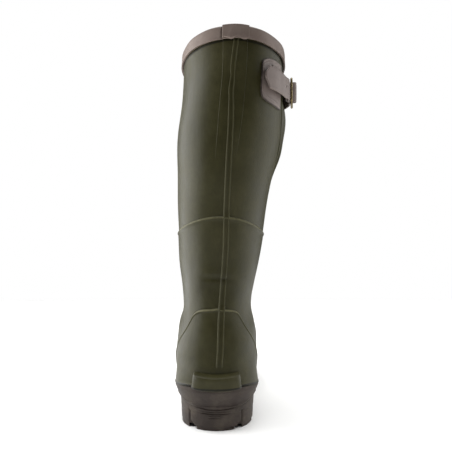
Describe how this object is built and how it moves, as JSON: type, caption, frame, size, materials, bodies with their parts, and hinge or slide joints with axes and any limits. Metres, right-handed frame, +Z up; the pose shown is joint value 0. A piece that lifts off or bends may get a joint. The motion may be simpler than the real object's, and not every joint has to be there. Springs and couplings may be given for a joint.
{
  "type": "hunting boot",
  "caption": "Tall insulated rubber hunting boot for the right foot, with a buckled calf gusset, lined leg, heel kick ledge and lugged outsole.",
  "frame": {"origin": "on the ground under the middle of the heel, on the tread's bottom face", "axes": "+Z up the leg, +Y towards the toe, +X towards the outer side of a right foot"},
  "size_m": [0.1446, 0.3293, 0.4003],
  "materials": {
    "olive_rubber": "satin",
    "binding": "satin",
    "sole_rubber": "satin",
    "strap_rubber": "satin",
    "lining": "knitted face",
    "board": "matt fibreboard",
    "steel": "brushed",
    "cork": "matt cork",
    "footbed": "felt face",
    "antique_brass": "antique"
  },
  "bodies": {
    "root": {"leg_shell": "olive_rubber", "foot_shell": "olive_rubber", "leg_lining": "lining", "foot_lining": "lining", "lasting_board": "board", "shank": "steel", "heel_filler": "cork", "gusset_panel": "olive_rubber", "top_binding": "binding", "binding_tab": "binding", "back_strip": "olive_rubber", "back_bead": "olive_rubber", "heel_counter": "olive_rubber", "toe_cap": "olive_rubber", "instep_overlay": "olive_rubber", "kick_ledge": "olive_rubber", "foxing_band": "sole_rubber", "outsole": "sole_rubber", "heel_lift": "sole_rubber", "heel_tread": "sole_rubber", "forefoot_tread": "sole_rubber", "strap_patch_rear": "strap_rubber", "strap_patch_front": "strap_rubber", "strap": "strap_rubber", "buckle_chape": "strap_rubber"},
    "buckle_frame": {"buckle_frame": "antique_brass", "buckle_bar": "antique_brass"},
    "buckle_prong": {"buckle_prong": "antique_brass"},
    "strap_tail": {"strap_tail": "strap_rubber"},
    "footbed": {"footbed": "footbed"}
  },
  "joints": [
    {"name": "buckle_swing", "type": "hinge", "parent": "root", "child": "buckle_frame", "pos_m": [0.0828, -0.0026, 0.359], "axis": [0, 0, -1], "range_deg": [-3, 3]},
    {"name": "prong_swing", "type": "hinge", "parent": "buckle_frame", "child": "buckle_prong", "pos_m": [0.0828, -0.0026, 0.359], "axis": [0, 0, -1], "range_deg": [0, 12]},
    {"name": "strap_tail_flex", "type": "hinge", "parent": "root", "child": "strap_tail", "pos_m": [0.07809, -0.0172, 0.359], "axis": [0, 0, 1], "range_deg": [0, 22]},
    {"name": "footbed_lift", "type": "hinge", "parent": "root", "child": "footbed", "pos_m": [-0.006, 0.232, 0.034], "axis": [-1, 0, 0], "range_deg": [0, 10]}
  ]
}
